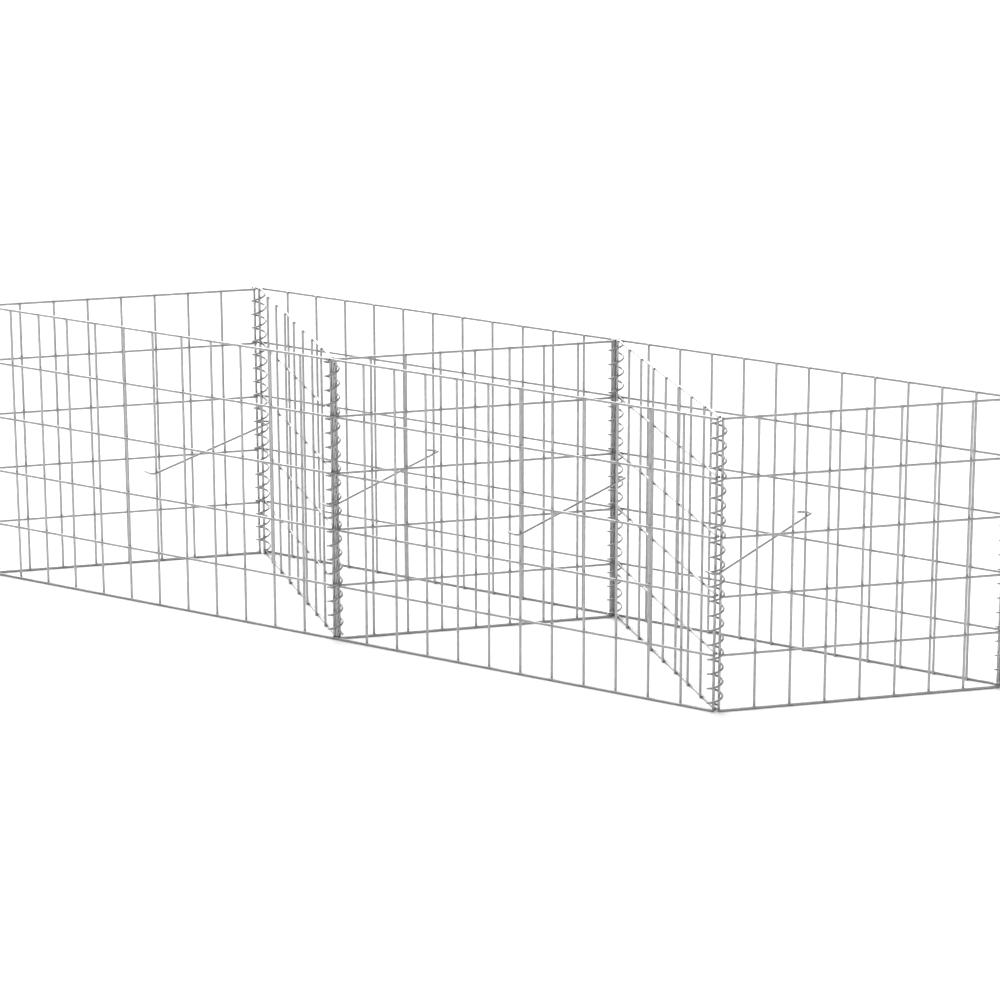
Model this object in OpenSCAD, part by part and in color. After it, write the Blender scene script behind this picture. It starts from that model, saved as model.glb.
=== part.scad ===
// Gabion wall: empty wire baskets, two bays long, free standing.
// Nine flat welded mesh panels stand on edge. Front and back panels run along X.
// Cross panels zigzag between them, so every cell is a triangle in plan.
// A spiral of wire binds the panels at each of the six posts, and four loose
// brace hooks stop the long panels from bulging when the cells are filled.
// The origin is under the middle of the wall, X runs along it, Y points to the back.

/* [Wall] */
// Height of every panel
wall_h = 500; // [400:25:1000]
// Thickness of the mesh wire
wire_d = 4.5; // [3.5:0.1:5]

/* [Mesh] */
// Distance between neighbouring upright wires
mesh_w = 60; // [50:1:80]
// Distance between level wires, counted down from the top
mesh_h = 100; // [80:5:140]
// Number of spaces along a front or back panel
long_spaces = 12; // [8:2:14]
// Number of spaces along a cross panel
cross_spaces = 8; // [7:1:12]
// How far crossing wires sink into each other where they are welded
weld_sink = 0.5; // [0.3:0.1:0.8]
// How far a wire stops short of the outer side of the wire it ends on
end_trim = 0.3; // [0.1:0.1:0.6]

/* [Posts] */
// Gap between the edge wires of two long panels that meet at a post
edge_gap = 0.5; // [0.3:0.1:1]
// Gap between a long panel's edge wire and a cross panel's edge wire
cross_gap = 0.9; // [0.7:0.1:0.9]

/* [Spiral binders] */
// Outside diameter of the spiral
spiral_d = 28; // [26:1:34]
// Thickness of the spiral's wire
spiral_wire_d = 3.5; // [2.5:0.1:4]
// Turns of the spiral in one mesh space
turns_per_space = 4; // [3:1:4]
// Gap between the spiral and the level wires that it hangs on
spiral_seat = 0.2; // [0.1:0.1:0.5]

/* [Brace hooks] */
// Thickness of the brace wire
brace_d = 4; // [3:0.1:5]
// Height wanted for the braces, each goes to the nearest free spot
brace_z = 245; // [150:1:350]
// Gap between the brace and the wires that it hooks round
brace_gap = 0.5; // [0.4:0.1:0.8]
// How far both ends of a brace together reach past the two panels
brace_reach = 34; // [34:1:60]
// How far the front middle brace passes the outside of its post's spiral
past_front_middle = 8; // [5:1:8]
// How far the front right brace passes the outside of its post's spiral
past_front_right = 5; // [5:1:8]
// How far the two back braces pass the outside of their posts' spirals
past_back = 7; // [5:1:8]
// Inside radius of a bend
bend_r = 5; // [4:0.25:9]
// How far a brace end is turned back
bend_angle = 115; // [90:1:130]
// Straight tip after the bend
tip_len = 16; // [10:1:20]

/* [Hidden] */
wire_r = wire_d / 2;
// an edge wire of a long panel stands this far from its post's middle
long_edge = wire_r + edge_gap / 2;
// length between post middles along the wall, and corner angle of a cell
lean0 = acos(long_spaces / cross_spaces / 2);
cross_step = wire_d + cross_gap;
cross_edge = long_edge * cos(lean0) + sqrt(pow(cross_step, 2) - pow(long_edge * sin(lean0), 2));
bay = long_spaces * mesh_w + 2 * long_edge;
cross_len = cross_spaces * mesh_w + 2 * cross_edge;
lean = acos(bay / 2 / cross_len);
depth = cross_len * sin(lean);
// upright wires and level wires lie side by side, sunk together at the welds
level_side = wire_d - weld_sink;
level_count = floor((wall_h - wire_d - mesh_h / 2) / mesh_h);
level_z = concat([wire_r], [for (k = [level_count:-1:0]) wall_h - wire_r - k * mesh_h]);
// post middles, front row and back row
front_x = [for (k = [0:2]) (k - 1.25) * bay];
back_x = [for (k = [0:2]) (k - 0.75) * bay];
front_y = -depth / 2;
back_y = depth / 2;
// spiral
spiral_r = (spiral_d - spiral_wire_d) / 2;
spiral_pitch = mesh_h / turns_per_space;
spiral_slope = atan(spiral_pitch / (360 * spiral_r * PI / 180));
// angle at the post by which a level wire lies beside its panel's middle plane
side_turn = asin(level_side / spiral_r);
seat_lift = (wire_r + spiral_wire_d / 2 + spiral_seat) / cos(spiral_slope);
spiral_low = wire_d + spiral_wire_d / 2 / cos(spiral_slope) + spiral_seat;
spiral_high = wall_h - spiral_wire_d / 2 - end_trim;
// where each spiral first meets a level wire, as an angle about its post
front_seat = [-side_turn, -side_turn, lean - side_turn];
back_seat = [180 + lean + side_turn, 180 - side_turn, 180 - side_turn];
// brace: beside the panel's middle wire at one end, beside the post at the other
brace_r = brace_d / 2;
brace_side_wire = wire_r + brace_r + brace_gap;
brace_side_post = cross_edge * cos(lean) + wire_r / cos(22.5) + brace_r + brace_gap;
bend_mid_r = bend_r + brace_r;

// ---------- wire mesh ----------

// One straight wire along +Z, eight flats, measured across the flats
module bar(d, len) {
    rotate(22.5) cylinder(h = len, d = d / cos(22.5), $fn = 8);
}

// A flat welded panel from x = 0 to the last wire, level wires on the +Y or -Y side
module mesh_panel(spaces, side) {
    reach = wire_r - end_trim;
    for (i = [0:spaces])
        translate([i * mesh_w, 0, end_trim]) bar(wire_d, wall_h - 2 * end_trim);
    for (z = level_z)
        translate([-reach, side * level_side, z])
            rotate([0, 90, 0]) bar(wire_d, spaces * mesh_w + 2 * reach);
}

// A panel along X between two neighbouring posts of one row
module long_panel(post_x, post_y, side) {
    translate([post_x + long_edge, post_y, 0]) mesh_panel(long_spaces, side);
}

// A panel from a front post to a back post, turned by the cell's corner angle
module cross_panel(post_x, turn, side) {
    translate([post_x, front_y, 0]) rotate(turn)
        translate([cross_edge, 0, 0]) mesh_panel(cross_spaces, side);
}

// ---------- bent wire ----------

// A closed tube through rings of points, each ring seen anticlockwise from its far end
module tube(rings) {
    n = len(rings[0]);
    last = len(rings) - 1;
    polyhedron(
        points = [for (ring = rings) for (p = ring) p],
        faces = concat(
            [[for (k = [0:n - 1]) k]],
            [for (i = [0:last - 1]) for (k = [0:n - 1])
                let (a = i * n + k, b = i * n + (k + 1) % n) [a, a + n, b]],
            [for (i = [0:last - 1]) for (k = [0:n - 1])
                let (a = i * n + k, b = i * n + (k + 1) % n) [b, a + n, b + n]],
            [[for (k = [n - 1:-1:0]) last * n + k]]));
}

// Height of a spiral's middle line at an angle about its post, above a level wire
function spiral_rise(angle, seat) = seat_lift + (angle - seat) / 360 * spiral_pitch;

// Height of the same line on the turn that starts from the lowest counted wire
function spiral_z(angle, seat) = level_z[1] - ceil(level_z[1] / spiral_pitch) * spiral_pitch
    + spiral_rise(angle, seat);

// Angle at which a spiral reaches a height
function spiral_angle(z, seat) = seat + (z - spiral_z(seat, seat)) / spiral_pitch * 360;

// Five corners of the spiral's section, square to the wire
function spiral_ring(angle, z) = [for (k = [0:4])
    let (t = k * 72, u = spiral_wire_d / 2 * cos(t), v = spiral_wire_d / 2 * sin(t))
    [(spiral_r + u) * cos(angle) + v * sin(spiral_slope) * sin(angle),
        (spiral_r + u) * sin(angle) - v * sin(spiral_slope) * cos(angle),
        z + v * cos(spiral_slope)]];

// A right-handed spiral standing round a post
module spiral(post_x, post_y, seat) {
    from = spiral_angle(spiral_low, seat);
    to = spiral_angle(spiral_high, seat);
    steps = ceil((to - from) / 36);
    translate([post_x, post_y, 0])
        tube([for (i = [0:steps])
            let (a = from + (to - from) * i / steps) spiral_ring(a, spiral_z(a, seat))]);
}

// ---------- brace hooks ----------

// Eight corners of the brace's section at a point, for a wire that runs level
function brace_ring(p, heading) = [for (k = [0:7])
    let (t = 22.5 + k * 45, u = brace_r / cos(22.5) * cos(t), v = brace_r / cos(22.5) * sin(t))
    [p[0] + u * cos(heading), p[1] + u * sin(heading), v]];

// Middle line of one end: straight, bend, tip. heading 0 runs along +Y, bending to -X
function hook_end(x, y) = let (steps = 6) concat(
    [for (i = [0:steps])
        let (t = bend_angle * i / steps)
        [x - bend_mid_r * (1 - cos(t)), y - bend_mid_r + bend_mid_r * sin(t), t]],
    [let (t = bend_angle)
        [x - bend_mid_r * (1 - cos(t)) - tip_len * sin(t),
            y - bend_mid_r + bend_mid_r * sin(t) + tip_len * cos(t), t]]);

// Height nearest to the wanted one at which the brace passes between spiral turns
function clear_of(z, line, pitch, need) = let (r = z - line, m = r - floor(r / pitch) * pitch)
    m >= need && pitch - m >= need;
function brace_height(seat) = let (
        ring_angle = acos(brace_side_post / spiral_r),
        line_a = spiral_z(ring_angle, seat), line_b = spiral_z(-ring_angle, seat),
        need = (brace_r + spiral_wire_d / 2 + brace_gap) / cos(spiral_slope)
            + spiral_pitch * side_turn / 360 / 2)
    [for (k = [0:0.5:spiral_pitch]) for (s = [1, -1]) let (z = brace_z + s * k)
        if (clear_of(z, line_a, spiral_pitch, need) && clear_of(z, line_b, spiral_pitch, need)) z][0];

// A brace from y0 at the front to y1 at the back, both at the outside of its bends
module brace(x0, x1, y0, y1, z) {
    back = hook_end(x1, y1);
    front = hook_end(x0, -y0);
    path = concat(
        [for (i = [len(front) - 1:-1:0]) [front[i][0], -front[i][1], -front[i][2]]],
        back);
    translate([0, 0, z]) tube([for (p = path) brace_ring(p, p[2])]);
}

// Braces that hold on to a front post reach to the back panel's middle wire
module front_brace(k, past) {
    post_reach = spiral_d / 2 + past;
    brace(front_x[k] + brace_side_post, front_x[k] + brace_side_wire,
        front_y - post_reach, back_y + brace_reach - post_reach,
        brace_height(front_seat[k]));
}

// Braces that hold on to a back post reach to the front panel's middle wire
module back_brace(k, past) {
    post_reach = spiral_d / 2 + past;
    brace(back_x[k] + brace_side_wire, back_x[k] + brace_side_post,
        front_y - (brace_reach - post_reach), back_y + post_reach,
        brace_height(back_seat[k]));
}

// ---------- the pieces ----------

module front_panel_left() { color("gainsboro") long_panel(front_x[0], front_y, -1); }
module front_panel_right() { color("gainsboro") long_panel(front_x[1], front_y, -1); }
module back_panel_left() { color("gainsboro") long_panel(back_x[0], back_y, 1); }
module back_panel_right() { color("gainsboro") long_panel(back_x[1], back_y, 1); }
module end_panel_left() { color("silver") cross_panel(front_x[0], lean, -1); }
module cross_panel_middle() { color("silver") cross_panel(front_x[1], lean, -1); }
module end_panel_right() { color("silver") cross_panel(front_x[2], lean, -1); }
module diagonal_panel_left() { color("lightgray") cross_panel(front_x[1], 180 - lean, -1); }
module diagonal_panel_right() { color("lightgray") cross_panel(front_x[2], 180 - lean, -1); }
module spiral_front_left() { color("gray") spiral(front_x[0], front_y, front_seat[0]); }
module spiral_front_middle() { color("gray") spiral(front_x[1], front_y, front_seat[1]); }
module spiral_front_right() { color("gray") spiral(front_x[2], front_y, front_seat[2]); }
module spiral_back_left() { color("gray") spiral(back_x[0], back_y, back_seat[0]); }
module spiral_back_middle() { color("gray") spiral(back_x[1], back_y, back_seat[1]); }
module spiral_back_right() { color("gray") spiral(back_x[2], back_y, back_seat[2]); }
module brace_hook_front_middle() { color("darkgray") front_brace(1, past_front_middle); }
module brace_hook_front_right() { color("darkgray") front_brace(2, past_front_right); }
module brace_hook_back_left() { color("darkgray") back_brace(0, past_back); }
module brace_hook_back_middle() { color("darkgray") back_brace(1, past_back); }

front_panel_left();
front_panel_right();
back_panel_left();
back_panel_right();
end_panel_left();
cross_panel_middle();
end_panel_right();
diagonal_panel_left();
diagonal_panel_right();
spiral_front_left();
spiral_front_middle();
spiral_front_right();
spiral_back_left();
spiral_back_middle();
spiral_back_right();
brace_hook_front_middle();
brace_hook_front_right();
brace_hook_back_left();
brace_hook_back_middle();
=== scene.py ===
import math

import bpy
import numpy as np
from mathutils import Matrix, Vector


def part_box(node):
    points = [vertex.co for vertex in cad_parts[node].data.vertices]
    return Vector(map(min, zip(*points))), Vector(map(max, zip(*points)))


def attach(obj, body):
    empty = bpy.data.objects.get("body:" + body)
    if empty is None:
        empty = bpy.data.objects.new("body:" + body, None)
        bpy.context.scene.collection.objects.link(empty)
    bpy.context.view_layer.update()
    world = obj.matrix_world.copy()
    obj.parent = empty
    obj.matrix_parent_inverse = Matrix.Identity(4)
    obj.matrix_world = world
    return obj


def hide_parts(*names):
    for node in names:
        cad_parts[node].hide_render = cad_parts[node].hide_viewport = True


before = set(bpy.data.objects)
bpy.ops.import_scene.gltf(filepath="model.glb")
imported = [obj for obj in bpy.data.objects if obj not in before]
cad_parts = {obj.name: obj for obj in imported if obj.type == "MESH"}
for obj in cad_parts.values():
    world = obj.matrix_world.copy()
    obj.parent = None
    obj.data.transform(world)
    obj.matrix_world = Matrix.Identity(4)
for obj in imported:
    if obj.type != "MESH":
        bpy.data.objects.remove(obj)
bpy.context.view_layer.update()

# ---------------------------------------------------------------------------
# Mesh panels
# The flat wire grids that make the walls and the cross walls of the basket.
# Hard drawn, zinc coated steel wire, cut to length and welded where it crosses:
# the level wires lie on one side of the upright wires, pressed a little into them.
# ---------------------------------------------------------------------------

MESH_WIRE = 0.0045
UPRIGHT_SPACING = 0.060
LEVEL_SPACING = 0.100
LEVEL_WIRES_FROM_TOP = 5
WELD_SINK = 0.0005
END_TRIM = 0.0003
LONG_PANEL_SPACES = 12
CROSS_PANEL_SPACES = 8
WIRE_SIDES = 16
UPRIGHT_RINGS = 40
LEVEL_RINGS_PER_SPACE = 5
RUBBED_END = 0.0003
RUBBED_SHARE = 0.82
WELD_HEAT_REACH = 0.0032

# the posts are the places where panels meet, one inside each spiral
POSTS = {}
for row in ("front", "back"):
    for place in ("left", "middle", "right"):
        low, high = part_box("spiral_%s_%s" % (row, place))
        POSTS[row, place] = (low + high) / 2


def wire_along(points, radius, sides):
    """A round wire along a line of points, as vertices, faces and wire coordinates.

    Its ends are cut square with the edge slightly rubbed off. The wire coordinates
    are two across the wire and one along it, for the drawing lines in the finish."""
    points = np.asarray(points, float)
    step = np.linalg.norm(np.diff(points, axis=0), axis=1)
    along = np.concatenate(([0.0], np.cumsum(step)))
    tangent = np.gradient(points, along, axis=0)
    tangent /= np.linalg.norm(tangent, axis=1)[:, None]
    # carry one crosswise direction along the wire without twist
    guess = np.eye(3)[np.argmin(np.abs(tangent[0]))]
    across = []
    for t in tangent:
        guess = guess - t * guess.dot(t)
        guess /= np.linalg.norm(guess)
        across.append(guess)
    across = np.array(across)
    other = np.cross(tangent, across)
    # an extra ring just inside each end makes the rubbed edge
    cut = RUBBED_END
    size = np.full(len(points), radius)
    points = np.vstack((points[:1], points[:1] + tangent[:1] * cut, points[1:-1],
                        points[-1:] - tangent[-1:] * cut, points[-1:]))
    across = np.vstack((across[:1], across, across[-1:]))
    other = np.vstack((other[:1], other, other[-1:]))
    size = np.concatenate(([radius * RUBBED_SHARE], size, [radius * RUBBED_SHARE]))
    along = np.concatenate((along[:1], along[:1] + cut, along[1:-1], along[-1:] - cut,
                            along[-1:]))
    turn = np.arange(sides) * 2 * math.pi / sides
    rings = len(points)
    cosine = np.cos(turn)[None, :, None]
    sine = np.sin(turn)[None, :, None]
    shell = (across[:, None] * cosine + other[:, None] * sine) * size[:, None, None]
    vertices = (points[:, None] + shell).reshape(-1, 3)
    coords = np.empty((rings, sides, 3))
    coords[..., 0] = np.cos(turn) * radius
    coords[..., 1] = np.sin(turn) * radius
    coords[..., 2] = along[:, None]
    faces = []
    for r in range(rings - 1):
        for s in range(sides):
            a = r * sides + s
            b = r * sides + (s + 1) % sides
            faces.append((a, b, b + sides, a + sides))
    faces.append(tuple(range(sides - 1, -1, -1)))
    faces.append(tuple(range((rings - 1) * sides, rings * sides)))
    return vertices, faces, coords.reshape(-1, 3)


def joined(parts):
    """Several lots of vertices, faces and wire coordinates as one."""
    vertices, faces, coords = [], [], []
    start = 0
    for v, f, c in parts:
        vertices.append(v)
        coords.append(c)
        faces += [tuple(i + start for i in face) for face in f]
        start += len(v)
    return np.vstack(vertices), faces, np.vstack(coords)


def new_object(name, vertices, faces):
    mesh = bpy.data.meshes.new(name)
    mesh.from_pydata([tuple(v) for v in vertices], [], faces)
    mesh.validate()
    thing = bpy.data.objects.new(name, mesh)
    bpy.context.scene.collection.objects.link(thing)
    return thing


def fused(name, lots):
    """One closed mesh out of several closed meshes that run into each other."""
    base = new_object(name, *lots[0])
    others = [new_object(name + "_lot", *lot) for lot in lots[1:]]
    for thing in others:
        union = base.modifiers.new("weld", "BOOLEAN")
        union.operation = "UNION"
        union.solver = "MANIFOLD"
        union.object = thing
    bpy.context.view_layer.update()
    seen = base.evaluated_get(bpy.context.evaluated_depsgraph_get())
    result = bpy.data.meshes.new_from_object(seen)
    old = base.data
    base.modifiers.clear()
    base.data = result
    bpy.data.meshes.remove(old)
    for thing in others:
        spare = thing.data
        bpy.data.objects.remove(thing)
        bpy.data.meshes.remove(spare)
    return base


def bead(center, sizes, rng):
    """A small lump of squeezed-out weld metal, slightly uneven."""
    rows, turns = 6, 10
    vertices = [(0, 0, 1)]
    for r in range(1, rows):
        for t in range(turns):
            a = math.pi * r / rows
            b = 2 * math.pi * t / turns
            vertices.append((math.sin(a) * math.cos(b), math.sin(a) * math.sin(b), math.cos(a)))
    vertices.append((0, 0, -1))
    uneven = 1 + 0.16 * (rng.random((len(vertices), 1)) - 0.5)
    vertices = np.array(vertices) * uneven * np.array(sizes) + np.array(center)
    faces = []
    last = len(vertices) - 1
    for t in range(turns):
        u = (t + 1) % turns
        faces.append((0, 1 + t, 1 + u))
        faces.append((last, last - turns + u, last - turns + t))
        for r in range(rows - 2):
            a = 1 + r * turns
            faces.append((a + t, a + turns + t, a + turns + u, a + u))
    return vertices, faces, vertices * 0


def set_values(mesh, name, kind, values):
    field = mesh.attributes.new(name, kind, "POINT")
    key = "vector" if kind == "FLOAT_VECTOR" else "value"
    field.data.foreach_set(key, np.asarray(values, np.float32).ravel())


def smooth_with_sharp_edges(thing, degrees):
    thing.data.shade_smooth()
    thing.data.set_sharp_from_angle(angle=math.radians(degrees))


def mesh_panel(name, start_post, end_post, spaces, side, seed):
    """A welded panel between two posts. side tells which side the level wires are on."""
    rng = np.random.default_rng(seed)
    radius = MESH_WIRE / 2
    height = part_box(name)[1].z
    run = Vector((end_post.x - start_post.x, end_post.y - start_post.y, 0))
    margin = (run.length - spaces * UPRIGHT_SPACING) / 2
    level_y = side * (MESH_WIRE - WELD_SINK)
    level_z = [height - radius - k * LEVEL_SPACING for k in range(LEVEL_WIRES_FROM_TOP)]
    level_z.append(radius)
    upright_x = [k * UPRIGHT_SPACING for k in range(spaces + 1)]
    reach = radius - END_TRIM

    def straight(a, b, pieces):
        share = np.linspace(0, 1, pieces + 1)[:, None]
        return np.array(a) * (1 - share) + np.array(b) * share

    uprights = []
    for x in upright_x:
        line = straight((x, 0, END_TRIM), (x, 0, height - END_TRIM), UPRIGHT_RINGS)
        uprights.append(wire_along(line, radius, WIRE_SIDES))
    levels = []
    for z in level_z:
        line = straight((-reach, level_y, z), (upright_x[-1] + reach, level_y, z),
                        spaces * LEVEL_RINGS_PER_SPACE)
        levels.append(wire_along(line, radius, WIRE_SIDES))
    welds = []
    for x in upright_x:
        for z in level_z:
            sizes = (rng.uniform(0.0021, 0.0026), rng.uniform(0.0007, 0.0011),
                     rng.uniform(0.0017, 0.0019))
            at = (x + rng.uniform(-0.0003, 0.0003), level_y / 2, z)
            welds.append(bead(at, sizes, rng))
    lots = [joined(uprights)[:2], joined(levels)[:2], joined(welds)[:2]]
    panel = fused(name + "_wires", lots)

    # wire coordinates and closeness to a weld, worked out from where each point lies
    mesh = panel.data
    co = np.empty(len(mesh.vertices) * 3)
    mesh.vertices.foreach_get("co", co)
    x, y, z = co.reshape(-1, 3).T
    nearest_x = np.clip(np.rint(x / UPRIGHT_SPACING), 0, spaces)
    from_upright = x - nearest_x * UPRIGHT_SPACING
    level_list = np.array(level_z)
    nearest_z = np.abs(z[:, None] - level_list[None]).argmin(axis=1)
    from_level = z - level_list[nearest_z]
    on_level = np.hypot(y - level_y, from_level) < np.hypot(y, from_upright)
    # each wire starts elsewhere in the zinc pattern, so that no two look alike
    shift = np.where(on_level, nearest_z * 3.1, nearest_x * 1.7 + 40) + seed * 7
    coords = np.column_stack((np.where(on_level, from_level, from_upright),
                              np.where(on_level, y - level_y, y),
                              np.where(on_level, x, z) + shift))
    set_values(mesh, "wire", "FLOAT_VECTOR", coords)
    nearness = np.exp(-(from_upright ** 2 + from_level ** 2) / WELD_HEAT_REACH ** 2)
    set_values(mesh, "weld", "FLOAT", nearness)
    smooth_with_sharp_edges(panel, 35)

    heading = run.normalized()
    angle = math.atan2(heading.y, heading.x)
    place = Matrix.Translation((start_post.x, start_post.y, 0)) @ Matrix.Rotation(angle, 4, "Z")
    mesh.transform(place @ Matrix.Translation((margin, 0, 0)))
    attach(panel, "root")
    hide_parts(name)
    return panel


def zinc(name, dark, light, rough_low, rough_high, line_depth):
    """Zinc coated wire: drawing lines along it, cloudy zinc, dull patches, burnt welds."""
    material = bpy.data.materials.new(name)
    material.use_nodes = True
    nodes = material.node_tree.nodes
    links = material.node_tree.links
    shader = nodes["Principled BSDF"]
    shader.inputs["Metallic"].default_value = 1.0
    shader.inputs["Specular IOR Level"].default_value = 0.5
    where = nodes.new("ShaderNodeAttribute")
    where.attribute_name = "wire"

    def scaled(factors):
        mapping = nodes.new("ShaderNodeMapping")
        mapping.inputs["Scale"].default_value = factors
        links.new(where.outputs["Vector"], mapping.inputs["Vector"])
        return mapping.outputs["Vector"]

    def noise(vector, scale, detail):
        texture = nodes.new("ShaderNodeTexNoise")
        texture.inputs["Scale"].default_value = scale
        texture.inputs["Detail"].default_value = detail
        links.new(vector, texture.inputs["Vector"])
        return texture.outputs["Fac"]

    def spread(value, low, high, to_low, to_high):
        change = nodes.new("ShaderNodeMapRange")
        change.inputs["From Min"].default_value = low
        change.inputs["From Max"].default_value = high
        change.inputs["To Min"].default_value = to_low
        change.inputs["To Max"].default_value = to_high
        links.new(value, change.inputs["Value"])
        return change.outputs["Result"]

    # cloudy zinc: patches a few millimetres long, stretched along the wire
    cloud = noise(scaled((1, 1, 0.35)), 420, 3)
    tone = nodes.new("ShaderNodeValToRGB")
    tone.color_ramp.elements[0].position = 0.3
    tone.color_ramp.elements[0].color = (*dark, 1)
    tone.color_ramp.elements[1].position = 0.7
    tone.color_ramp.elements[1].color = (*light, 1)
    links.new(cloud, tone.inputs["Fac"])
    # burnt, duller metal round the welds
    weld = nodes.new("ShaderNodeAttribute")
    weld.attribute_name = "weld"
    burnt = nodes.new("ShaderNodeMix")
    burnt.data_type = "RGBA"
    burnt.inputs["B"].default_value = (dark[0] * 0.72, dark[1] * 0.7, dark[2] * 0.68, 1)
    links.new(spread(weld.outputs["Fac"], 0.25, 1.0, 0.0, 0.75), burnt.inputs["Factor"])
    links.new(tone.outputs["Color"], burnt.inputs["A"])
    links.new(burnt.outputs["Result"], shader.inputs["Base Color"])
    # roughness follows a coarser cloud
    links.new(spread(noise(scaled((1, 1, 0.2)), 160, 2), 0.3, 0.7, rough_low, rough_high),
              shader.inputs["Roughness"])
    # fine drawing lines and a slight orange peel
    lines = noise(scaled((1, 1, 0.015)), 2600, 2)
    peel = noise(scaled((1, 1, 0.8)), 900, 2)
    height = nodes.new("ShaderNodeMath")
    height.operation = "ADD"
    links.new(lines, height.inputs[0])
    links.new(peel, height.inputs[1])
    bump = nodes.new("ShaderNodeBump")
    bump.inputs["Strength"].default_value = 0.6
    bump.inputs["Distance"].default_value = line_depth
    links.new(height.outputs["Value"], bump.inputs["Height"])
    links.new(bump.outputs["Normal"], shader.inputs["Normal"])
    return material


mesh_zinc = zinc("mesh_wire_zinc", (0.3, 0.3, 0.3), (0.4, 0.4, 0.4), 0.3, 0.45, 0.00005)

front_left, front_middle, front_right = (POSTS["front", p] for p in ("left", "middle", "right"))
back_left, back_middle, back_right = (POSTS["back", p] for p in ("left", "middle", "right"))
OUTWARD_FRONT, OUTWARD_BACK, CROSS_SIDE = -1, 1, -1
PANELS = [
    ("front_panel_left", front_left, front_middle, LONG_PANEL_SPACES, OUTWARD_FRONT),
    ("front_panel_right", front_middle, front_right, LONG_PANEL_SPACES, OUTWARD_FRONT),
    ("back_panel_left", back_left, back_middle, LONG_PANEL_SPACES, OUTWARD_BACK),
    ("back_panel_right", back_middle, back_right, LONG_PANEL_SPACES, OUTWARD_BACK),
    ("end_panel_left", front_left, back_left, CROSS_PANEL_SPACES, CROSS_SIDE),
    ("cross_panel_middle", front_middle, back_middle, CROSS_PANEL_SPACES, CROSS_SIDE),
    ("end_panel_right", front_right, back_right, CROSS_PANEL_SPACES, CROSS_SIDE),
    ("diagonal_panel_left", front_middle, back_left, CROSS_PANEL_SPACES, CROSS_SIDE),
    ("diagonal_panel_right", front_right, back_middle, CROSS_PANEL_SPACES, CROSS_SIDE),
]
for number, (name, start, end, spaces, side) in enumerate(PANELS):
    panel = mesh_panel(name, start, end, spaces, side, number)
    panel.data.materials.clear()
    panel.data.materials.append(mesh_zinc)

# ---------------------------------------------------------------------------
# Spiral binders
# A spring of thinner, harder zinc coated wire, wound on a rod and cut to the height
# of the wall. It is screwed down over the edge wires of all panels that meet at a post.
# ---------------------------------------------------------------------------

SPIRAL_WIRE = 0.0035
TURNS_PER_SPACE = 4
SPIRAL_PITCH = LEVEL_SPACING / TURNS_PER_SPACE
SPIRAL_SEAT = 0.0002
RINGS_PER_TURN = 36
SPIRAL_SIDES = 12


def spiral(name, post, seat_angle):
    """A right-handed spring round a post, resting on the level wires at seat_angle."""
    low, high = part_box(name)
    radius = (high.x - low.x - SPIRAL_WIRE) / 2
    slope = math.atan(SPIRAL_PITCH / (2 * math.pi * radius))
    lift = (MESH_WIRE / 2 + SPIRAL_WIRE / 2 + SPIRAL_SEAT) / math.cos(slope)
    wall_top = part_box("front_panel_left")[1].z
    lowest_counted = wall_top - MESH_WIRE / 2 - (LEVEL_WIRES_FROM_TOP - 1) * LEVEL_SPACING
    seat_z = lowest_counted + lift
    bottom = MESH_WIRE + SPIRAL_WIRE / 2 / math.cos(slope) + SPIRAL_SEAT
    top = wall_top - SPIRAL_WIRE / 2 - END_TRIM
    first = seat_angle + (bottom - seat_z) / SPIRAL_PITCH * 2 * math.pi
    last = seat_angle + (top - seat_z) / SPIRAL_PITCH * 2 * math.pi
    rings = int((last - first) / (2 * math.pi) * RINGS_PER_TURN)
    angle = np.linspace(first, last, rings + 1)
    line = np.column_stack((post.x + radius * np.cos(angle), post.y + radius * np.sin(angle),
                            seat_z + (angle - seat_angle) / (2 * math.pi) * SPIRAL_PITCH))
    vertices, faces, coords = wire_along(line, SPIRAL_WIRE / 2, SPIRAL_SIDES)
    piece = new_object(name + "_wire", vertices, faces)
    set_values(piece.data, "wire", "FLOAT_VECTOR", coords)
    smooth_with_sharp_edges(piece, 40)
    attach(piece, "root")
    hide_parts(name)
    return piece


spiral_zinc = zinc("spiral_wire_zinc", (0.2, 0.2, 0.2), (0.3, 0.3, 0.3), 0.24, 0.38, 0.00003)
lean = math.atan2(back_left.y - front_left.y, back_left.x - front_left.x)
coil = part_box("spiral_front_left")
beside = math.asin((MESH_WIRE - WELD_SINK) / ((coil[1].x - coil[0].x - SPIRAL_WIRE) / 2))
SEATS = [
    ("spiral_front_left", front_left, -beside),
    ("spiral_front_middle", front_middle, -beside),
    ("spiral_front_right", front_right, lean - beside),
    ("spiral_back_left", back_left, math.pi + lean + beside),
    ("spiral_back_middle", back_middle, math.pi - beside),
    ("spiral_back_right", back_right, math.pi - beside),
]
for name, post, seat_angle in SEATS:
    piece = spiral(name, post, seat_angle)
    piece.data.materials.append(spiral_zinc)

# ---------------------------------------------------------------------------
# Brace hooks
# Loose ties of slightly thinner wire than the mesh, bent by hand round the edge wires of a post
# at one end and round the middle wire of the opposite panel at the other.
# ---------------------------------------------------------------------------

BRACE_WIRE = 0.004
INSIDE_BEND = 0.005
BEND_RADIUS = INSIDE_BEND + BRACE_WIRE / 2
BEND_ANGLE = math.radians(115)
TIP = 0.016
BRACE_GAP = 0.0003


def hook_end(x, y):
    """Middle line of one end that runs along +Y, bends towards -X and ends in a tip."""
    line = []
    for t in np.linspace(0, BEND_ANGLE, 29):
        line.append((x - BEND_RADIUS * (1 - math.cos(t)),
                     y - BEND_RADIUS * (1 - math.sin(t))))
    end_x, end_y = line[-1]
    for s in np.linspace(0, TIP, 9)[1:]:
        line.append((end_x - s * math.sin(BEND_ANGLE), end_y + s * math.cos(BEND_ANGLE)))
    return line


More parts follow.
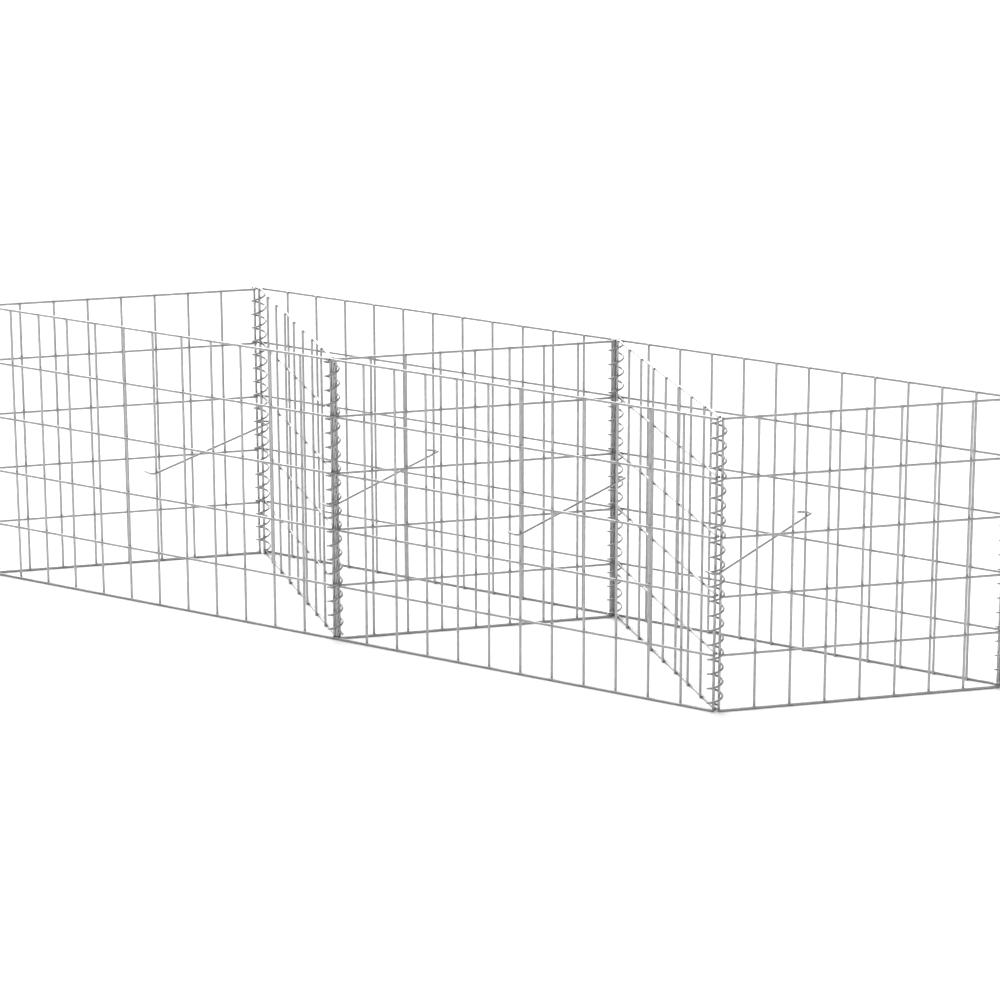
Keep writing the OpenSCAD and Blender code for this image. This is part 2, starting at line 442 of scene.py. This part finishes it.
def brace(name, front_side, back_side):
    """A brace that runs front_side and back_side to the right of the wires it hooks round."""
    low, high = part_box(name)
    z = (low.z + high.z) / 2
    back = hook_end(back_side, high.y - BRACE_WIRE / 2)
    front = [(x, -y) for x, y in hook_end(front_side, -(low.y + BRACE_WIRE / 2))]
    span = np.linspace(0, 1, 41)[1:-1]
    start, end = front[0], back[0]
    middle = [(start[0] + (end[0] - start[0]) * s, start[1] + (end[1] - start[1]) * s)
              for s in span]
    line = [(x, y, z) for x, y in front[::-1] + middle + back]
    vertices, faces, coords = wire_along(line, BRACE_WIRE / 2, WIRE_SIDES)
    piece = new_object(name + "_wire", vertices, faces)
    set_values(piece.data, "wire", "FLOAT_VECTOR", coords)
    smooth_with_sharp_edges(piece, 40)
    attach(piece, "root")
    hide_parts(name)
    return piece


brace_zinc = zinc("brace_wire_zinc", (0.26, 0.26, 0.26), (0.36, 0.36, 0.36), 0.28, 0.42, 0.00004)
beside_wire = (MESH_WIRE + BRACE_WIRE) / 2 + BRACE_GAP
beside_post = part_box("brace_hook_front_middle")[1].x - front_middle.x - BRACE_WIRE / 2
BRACES = [
    ("brace_hook_front_middle", front_middle.x + beside_post, front_middle.x + beside_wire),
    ("brace_hook_front_right", front_right.x + beside_post, front_right.x + beside_wire),
    ("brace_hook_back_left", back_left.x + beside_wire, back_left.x + beside_post),
    ("brace_hook_back_middle", back_middle.x + beside_wire, back_middle.x + beside_post),
]
for name, front_side, back_side in BRACES:
    piece = brace(name, front_side, back_side)
    piece.data.materials.append(brace_zinc)

# ---------------------------------------------------------------------------
# Studio
# A plain white floor that runs far back, a pale surround, and soft lamps.
# ---------------------------------------------------------------------------

FLOOR = 30
floor_corners = [(-FLOOR, -FLOOR, 0), (FLOOR, -FLOOR, 0), (FLOOR, FLOOR, 0), (-FLOOR, FLOOR, 0)]
floor = new_object("studio_floor", floor_corners, [(0, 1, 2, 3)])
paper = bpy.data.materials.new("white_paper")
paper.use_nodes = True
paper.node_tree.nodes["Principled BSDF"].inputs["Base Color"].default_value = (0.94, 0.94, 0.94, 1)
paper.node_tree.nodes["Principled BSDF"].inputs["Roughness"].default_value = 0.9
paper.node_tree.nodes["Principled BSDF"].inputs["Specular IOR Level"].default_value = 0.0
floor.data.materials.append(paper)

world = bpy.data.worlds.new("surround")
world.use_nodes = True
world.node_tree.nodes["Background"].inputs["Color"].default_value = (1, 1, 1, 1)
world.node_tree.nodes["Background"].inputs["Strength"].default_value = 0.58
bpy.context.scene.world = world


def lamp(name, direction, strength, spread):
    """A far, soft lamp that shines from a direction."""
    light = bpy.data.lights.new(name, "SUN")
    light.energy = strength
    light.angle = math.radians(spread)
    thing = bpy.data.objects.new(name, light)
    thing.rotation_euler = Vector(direction).to_track_quat("Z", "Y").to_euler()
    thing.location = Vector(direction).normalized() * 4
    bpy.context.scene.collection.objects.link(thing)


lamp("back_left_lamp", (-0.734, 0.424, 0.53), 4.6, 66)
lamp("top_lamp", (0, 0, 1), 1.0, 90)

# ---------------------------------------------------------------------------
# Camera
# A long lens, a little above and to the right of the wall's middle.
# ---------------------------------------------------------------------------

CAMERA_PLACE = (3.2212, -5.6115, 2.2836)
CAMERA_YAW, CAMERA_TILT, CAMERA_ROLL = 29.488, 17.609, -0.108
camera_data = bpy.data.cameras.new("camera")
camera_data.lens = 142.67
camera_data.sensor_width = 36
camera = bpy.data.objects.new("camera", camera_data)
camera.matrix_world = (Matrix.Translation(CAMERA_PLACE)
                       @ Matrix.Rotation(math.radians(CAMERA_YAW), 4, "Z")
                       @ Matrix.Rotation(math.radians(90 - CAMERA_TILT), 4, "X")
                       @ Matrix.Rotation(math.radians(CAMERA_ROLL), 4, "Z"))
bpy.context.scene.collection.objects.link(camera)
bpy.context.scene.camera = camera
bpy.context.scene.view_settings.view_transform = "Standard"
